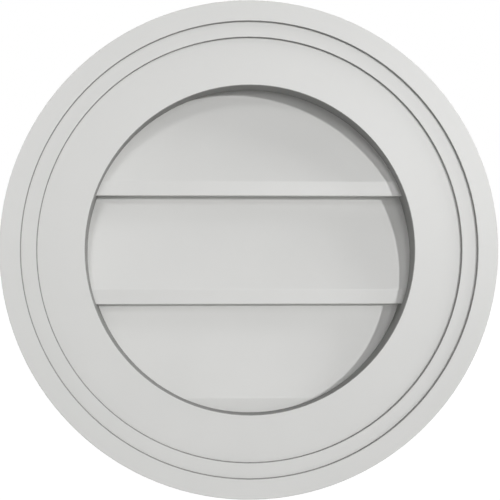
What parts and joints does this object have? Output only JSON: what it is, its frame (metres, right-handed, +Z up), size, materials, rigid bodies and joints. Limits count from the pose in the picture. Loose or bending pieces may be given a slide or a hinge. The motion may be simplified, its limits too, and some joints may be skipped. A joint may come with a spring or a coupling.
{
  "type": "round gable vent",
  "caption": "Round gable vent: a stepped ring frame with fixed sloping louvers across its round opening and an insect screen at the back.",
  "frame": {"origin": "centre of the flat back face that goes against the wall, on the ring's axis", "axes": "+Y is the back face's outward normal, into the wall; the decorative face looks along -Y; +Z is up, so the louvers shed water down and out"},
  "size_m": [0.3048, 0.0381, 0.3048],
  "materials": {
    "frame_pvc": "satin white cellular PVC, turned and sanded",
    "louver_pvc": "satin white cellular PVC sheet, planed",
    "screen_mesh": "charcoal PVC-coated glass fibre mesh",
    "staple_steel": "stainless steel wire"
  },
  "bodies": {
    "root": {"frame_ring": "frame_pvc", "louver_top": "louver_pvc", "louver_middle": "louver_pvc", "louver_bottom": "louver_pvc", "insect_screen": "screen_mesh", "screen_staples": "staple_steel"}
  },
  "joints": []
}
